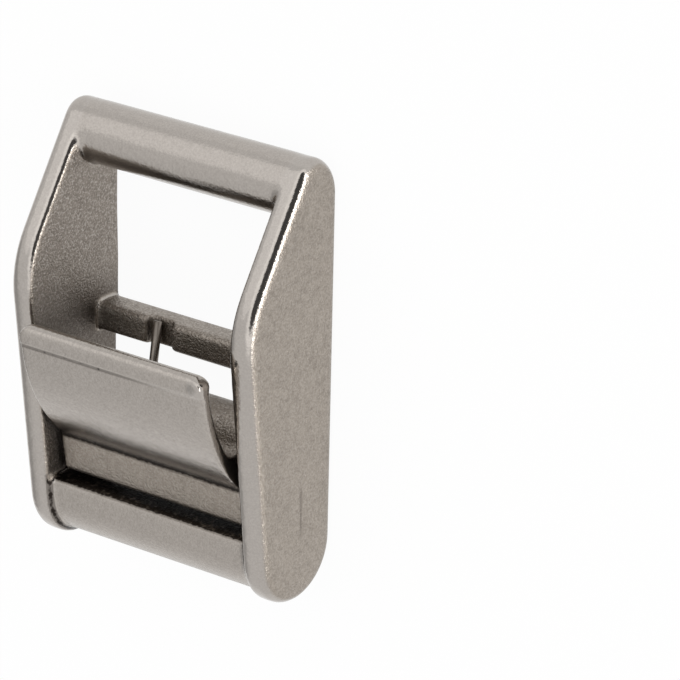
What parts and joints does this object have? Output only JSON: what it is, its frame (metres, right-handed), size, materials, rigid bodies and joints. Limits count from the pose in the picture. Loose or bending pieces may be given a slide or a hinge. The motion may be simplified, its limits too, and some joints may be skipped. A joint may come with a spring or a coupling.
{
  "type": "cam buckle",
  "caption": "Cast cam buckle for narrow strapping: a round bar takes the sewn end, and a sprung toothed cam with a curved thumb plate clamps the free end against the bottom bar.",
  "frame": {"origin": "below the middle of the frame, in the plane of its back", "axes": "+X across the buckle to the right as the thumb plate is seen, +Y along it towards the round top bar, +Z out of the back towards the thumb plate"},
  "size_m": [0.033, 0.0504, 0.0186],
  "materials": {
    "cast_steel": "satin, tumbled stainless casting",
    "pin_steel": "ground steel",
    "spring_wire": "drawn spring wire"
  },
  "bodies": {
    "frame": {"frame": "cast_steel", "pivot_pin": "pin_steel", "torsion_spring": "spring_wire"},
    "lever": {"cam_lever": "cast_steel"}
  },
  "joints": [
    {"name": "lever pivot", "type": "hinge", "parent": "frame", "child": "lever", "pos_m": [0, -0.0074, 0.0077], "axis": [-1, 0, 0], "range_deg": [0, 60], "stiffness_Nm_per_rad": 0.06, "springref_deg": -45.84, "deforming": ["torsion_spring"]}
  ]
}
